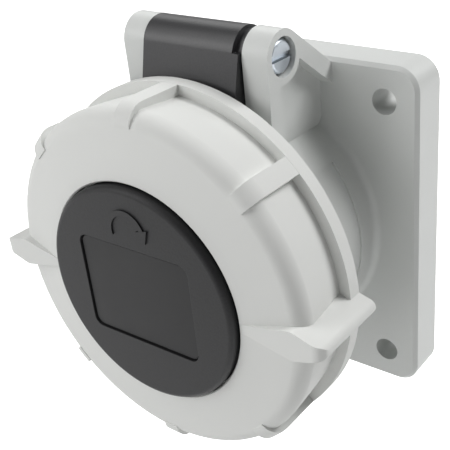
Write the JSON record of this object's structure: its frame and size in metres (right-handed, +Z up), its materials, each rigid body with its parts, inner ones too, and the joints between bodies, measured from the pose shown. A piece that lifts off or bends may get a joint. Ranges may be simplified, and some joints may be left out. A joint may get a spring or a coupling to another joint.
{
  "type": "industrial panel socket",
  "caption": "Industrial panel socket with a square flange, a round neck, a sprung hinged lid and a bayonet locking ring with grip wings.",
  "frame": {"origin": "centre of the flange's back face, on the socket's axis, where it meets the panel", "axes": "+X to the right seen from the front, +Y into the panel along the socket's axis, +Z up towards the lid's hinge"},
  "size_m": [0.0838, 0.0826, 0.0859],
  "materials": {
    "light_grey_plastic": "satin moulded polyamide",
    "black_plastic": "satin moulded polyamide, finely textured on the disc",
    "seal_rubber": "matt elastomer",
    "insulator_plastic": "matt moulded thermoset",
    "contact_brass": "turned",
    "zinc_steel": "zinc plated",
    "label_plastic": "smooth satin"
  },
  "bodies": {
    "housing": {"housing": "light_grey_plastic", "flange_gasket": "seal_rubber", "contact_carrier": "insulator_plastic", "terminal_block": "insulator_plastic", "sleeve_l1": "contact_brass", "sleeve_l2": "contact_brass", "sleeve_l3": "contact_brass", "sleeve_earth": "contact_brass", "terminal_screw_l1": "zinc_steel", "terminal_screw_l2": "zinc_steel", "terminal_screw_l3": "zinc_steel", "terminal_screw_earth": "zinc_steel", "carrier_screw_a": "zinc_steel", "carrier_screw_b": "zinc_steel", "hinge_screw": "zinc_steel", "hinge_nut": "zinc_steel"},
    "lid": {"lid": "black_plastic", "lid_seal": "seal_rubber", "centre_disc": "black_plastic", "label_plate": "label_plastic", "hinge_spring": "zinc_steel"},
    "ring": {"bayonet_ring": "light_grey_plastic"}
  },
  "joints": [
    {"name": "lid_hinge", "type": "hinge", "parent": "housing", "child": "lid", "pos_m": [0, -0.0251, 0.0421], "axis": [-1, 0, 0], "range_deg": [0, 135], "stiffness_Nm_per_rad": 0.02, "springref_deg": -57.3},
    {"name": "bayonet_turn", "type": "hinge", "parent": "lid", "child": "ring", "pos_m": [0, -0.0453, 0], "axis": [0, 1, 0], "range_deg": [0, 40]}
  ]
}
